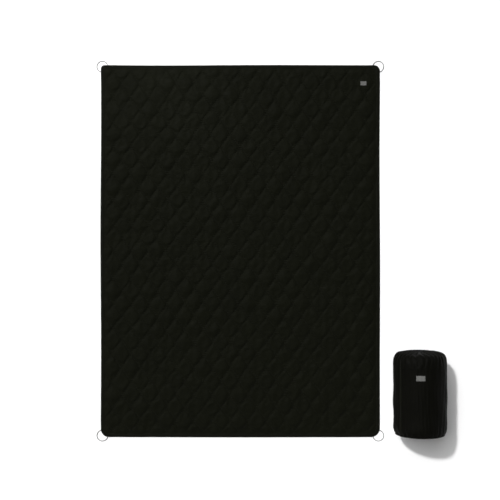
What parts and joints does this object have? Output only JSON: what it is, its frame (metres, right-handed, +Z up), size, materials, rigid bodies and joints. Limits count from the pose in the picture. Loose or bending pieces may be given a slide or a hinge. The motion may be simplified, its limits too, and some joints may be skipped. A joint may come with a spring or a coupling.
{
  "type": "camp quilt",
  "caption": "Quilted camp blanket with bound edges and a cord loop at each corner, lying flat beside its full, drawcord-closed stuff sack.",
  "frame": {"origin": "centre of the blanket's underside, where it lies on the ground", "axes": "+Z up; +Y along the blanket's long side, towards the end with the label; the stuff sack lies on the +X side at the -Y end, its mouth towards +Y"},
  "size_m": [1.8537, 2.0454, 0.2741],
  "materials": {
    "shell_fabric": "matte",
    "back_fabric": "matte",
    "insulation": "matte",
    "binding_tape": "matte",
    "cord": "matte",
    "label": "matte",
    "sack_fabric": "matte",
    "lock_plastic": "satin",
    "spring_steel": "satin"
  },
  "bodies": {
    "quilt": {"face_fabric": "shell_fabric", "insulation_batt": "insulation", "back_fabric": "back_fabric", "binding_right": "binding_tape", "binding_rear": "binding_tape", "binding_left": "binding_tape", "binding_front": "binding_tape", "corner_patch_rear_right": "binding_tape", "corner_patch_rear_left": "binding_tape", "corner_patch_front_left": "binding_tape", "corner_patch_front_right": "binding_tape", "quilt_label": "label"},
    "loop_rear_right": {"corner_loop_rear_right": "cord"},
    "loop_rear_left": {"corner_loop_rear_left": "cord"},
    "loop_front_left": {"corner_loop_front_left": "cord"},
    "loop_front_right": {"corner_loop_front_right": "cord"},
    "sack": {"sack_body": "sack_fabric", "packed_roll": "shell_fabric", "sack_base_panel": "sack_fabric", "sack_base_piping": "binding_tape", "sack_side_seam": "binding_tape", "sack_label": "label", "sack_mouth_hem": "sack_fabric", "sack_drawcord": "cord", "cord_lock_barrel": "lock_plastic", "cord_lock_spring": "spring_steel"},
    "lock_button": {"cord_lock_button": "lock_plastic"}
  },
  "joints": [
    {"name": "loop_rear_right_flip", "type": "hinge", "parent": "quilt", "child": "loop_rear_right", "pos_m": [0.73335, 0.98335, 0.00295], "axis": [0.7071, -0.7071, 0], "range_deg": [0, 120]},
    {"name": "loop_rear_left_flip", "type": "hinge", "parent": "quilt", "child": "loop_rear_left", "pos_m": [-0.73335, 0.98335, 0.00295], "axis": [0.7071, 0.7071, 0], "range_deg": [0, 120]},
    {"name": "loop_front_left_flip", "type": "hinge", "parent": "quilt", "child": "loop_front_left", "pos_m": [-0.73335, -0.98335, 0.00295], "axis": [-0.7071, 0.7071, 0], "range_deg": [0, 120]},
    {"name": "loop_front_right_flip", "type": "hinge", "parent": "quilt", "child": "loop_front_right", "pos_m": [0.73335, -0.98335, 0.00295], "axis": [-0.7071, -0.7071, 0], "range_deg": [0, 120]},
    {"name": "sack_lift", "type": "slide", "parent": "quilt", "child": "sack", "axis": [0, 0, 1], "range_m": [0, 0.35]},
    {"name": "lock_button_press", "type": "slide", "parent": "sack", "child": "lock_button", "axis": [0, -1, 0], "range_m": [0, 0.004], "stiffness_N_per_m": 400, "springref_m": -0.005, "deforming": ["cord_lock_spring"]}
  ]
}
